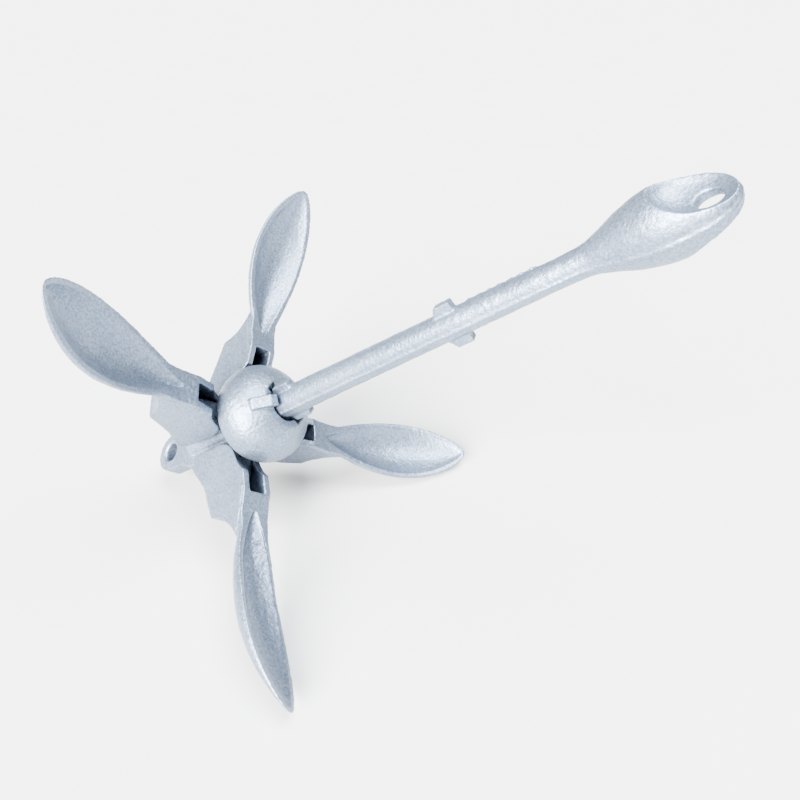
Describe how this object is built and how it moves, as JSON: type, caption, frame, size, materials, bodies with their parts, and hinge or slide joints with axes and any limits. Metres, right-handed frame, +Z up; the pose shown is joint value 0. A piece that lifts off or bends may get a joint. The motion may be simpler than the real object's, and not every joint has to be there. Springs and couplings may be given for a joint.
{
  "type": "folding grapnel anchor",
  "caption": "Folding boat anchor: spoon-bladed flukes pivot on a crown with a trip eye and are locked open by a sliding bell collar on a lugged shank with a rope eye.",
  "frame": {"origin": "centre of the bottom of the bounding box, on the floor the anchor rests on", "axes": "+Z up from the floor; +X is the level direction in which the shank leans, toward the rope eye"},
  "size_m": [0.3382, 0.2748, 0.2805],
  "materials": {
    "galvanised_iron": "hot-dip galvanised, finely granular",
    "pin_steel": "zinc plated"
  },
  "bodies": {
    "frame": {"shank": "galvanised_iron", "crown": "galvanised_iron", "shank_pin": "pin_steel"},
    "collar": {"locking_collar": "galvanised_iron"},
    "fluke_a": {"fluke_a": "galvanised_iron", "pivot_pin_a": "pin_steel"},
    "fluke_b": {"fluke_b": "galvanised_iron", "pivot_pin_b": "pin_steel"},
    "fluke_c": {"fluke_c": "galvanised_iron", "pivot_pin_c": "pin_steel"},
    "fluke_d": {"fluke_d": "galvanised_iron", "pivot_pin_d": "pin_steel"}
  },
  "joints": [
    {"name": "collar_slide", "type": "slide", "parent": "frame", "child": "collar", "axis": [0.7877, 0, 0.6161], "range_m": [0, 0.15]},
    {"name": "fluke_a_hinge", "type": "hinge", "parent": "frame", "child": "fluke_a", "pos_m": [-0.11985, -0.02017, 0.08735], "axis": [-0.3916, 0.7719, 0.5007], "range_deg": [0, 67.35]},
    {"name": "fluke_b_hinge", "type": "hinge", "parent": "frame", "child": "fluke_b", "pos_m": [-0.11691, 0.02909, 0.0836], "axis": [0.4756, 0.6357, -0.608], "range_deg": [0, 66.85]},
    {"name": "fluke_c_hinge", "type": "hinge", "parent": "frame", "child": "fluke_c", "pos_m": [-0.08656, 0.02432, 0.04479], "axis": [0.3916, -0.7719, -0.5007], "range_deg": [0, 64.15]},
    {"name": "fluke_d_hinge", "type": "hinge", "parent": "frame", "child": "fluke_d", "pos_m": [-0.0895, -0.02494, 0.04854], "axis": [-0.4756, -0.6357, 0.608], "range_deg": [0, 72.75]}
  ],
  "couplings": [
    {"joint": "fluke_a_hinge", "follows": "collar_slide", "rad_per_m": 7.8307},
    {"joint": "fluke_b_hinge", "follows": "collar_slide", "rad_per_m": 7.7725},
    {"joint": "fluke_c_hinge", "follows": "collar_slide", "rad_per_m": 7.4584},
    {"joint": "fluke_d_hinge", "follows": "collar_slide", "rad_per_m": 8.459}
  ]
}
